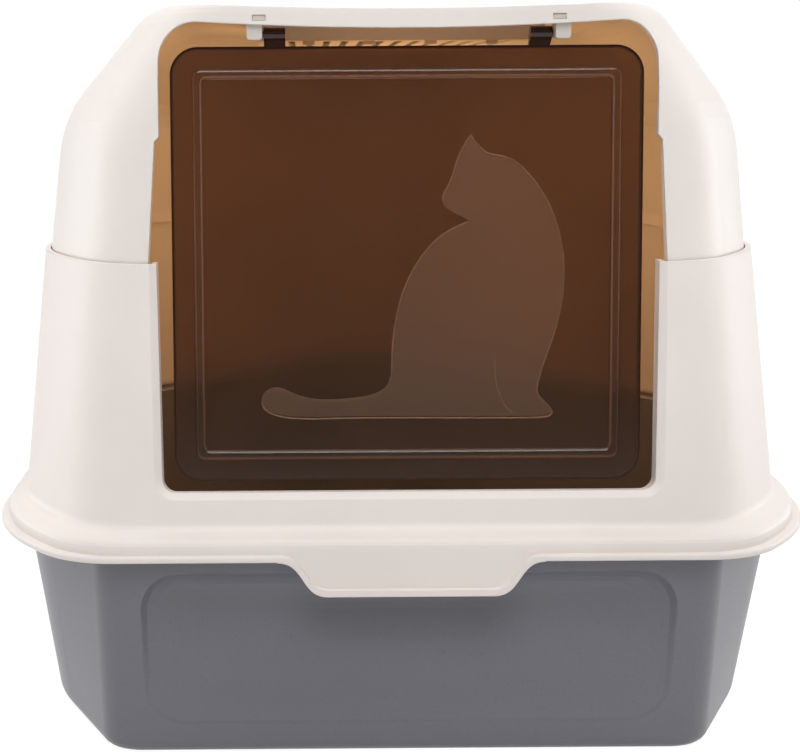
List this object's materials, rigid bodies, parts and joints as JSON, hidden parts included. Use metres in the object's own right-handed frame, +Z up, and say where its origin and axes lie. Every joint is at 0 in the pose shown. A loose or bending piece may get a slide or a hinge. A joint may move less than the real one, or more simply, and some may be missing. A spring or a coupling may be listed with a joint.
{
  "type": "corner litter box",
  "caption": "Covered corner litter box with a lift-off lower hood, a domed upper hood that tips back, a see-through swing door, a filter cover and a fold-down carry handle.",
  "frame": {"origin": "on the floor, under the middle of the bounding box", "axes": "+X to the right of the entry, -Y out through the entry, +Z up"},
  "size_m": [0.455, 0.56, 0.3937],
  "materials": {
    "tray_grey": "moulded grey polypropylene, satin",
    "hood_cream": "moulded warm white polypropylene, satin gloss",
    "dome_cream": "moulded warm white polypropylene, gloss",
    "cover_cream": "moulded warm white polypropylene, satin",
    "door_smoke": "smoky brown see-through polystyrene, polished",
    "hanger_white": "moulded white nylon",
    "filter_black": "black carbon felt",
    "pin_steel": "plain steel wire"
  },
  "bodies": {
    "tray": {"tray": "tray_grey"},
    "lower_hood": {"lower_hood": "hood_cream", "hinge_pin": "pin_steel"},
    "upper_hood": {"upper_hood": "dome_cream", "door_hanger_left": "hanger_white", "door_hanger_right": "hanger_white", "carbon_filter": "filter_black"},
    "door": {"swing_door": "door_smoke"},
    "cover": {"filter_cover": "cover_cream"},
    "handle": {"carry_handle": "dome_cream"}
  },
  "joints": [
    {"name": "hood_lift", "type": "slide", "parent": "tray", "child": "lower_hood", "axis": [0, 0, 1], "range_m": [0, 0.15]},
    {"name": "lid_open", "type": "hinge", "parent": "lower_hood", "child": "upper_hood", "pos_m": [0, 0.25173, 0.263], "axis": [-1, 0, 0], "range_deg": [0, 90]},
    {"name": "door_swing", "type": "hinge", "parent": "upper_hood", "child": "door", "pos_m": [0, -0.224, 0.3786], "axis": [1, 0, 0], "range_deg": [-75, 60]},
    {"name": "handle_swing", "type": "hinge", "parent": "upper_hood", "child": "handle", "pos_m": [0, 0.007, 0.3837], "axis": [-1, 0, 0], "range_deg": [0, 90]},
    {"name": "cover_lift", "type": "slide", "parent": "upper_hood", "child": "cover", "axis": [0, 0, 1], "range_m": [0, 0.05]}
  ]
}
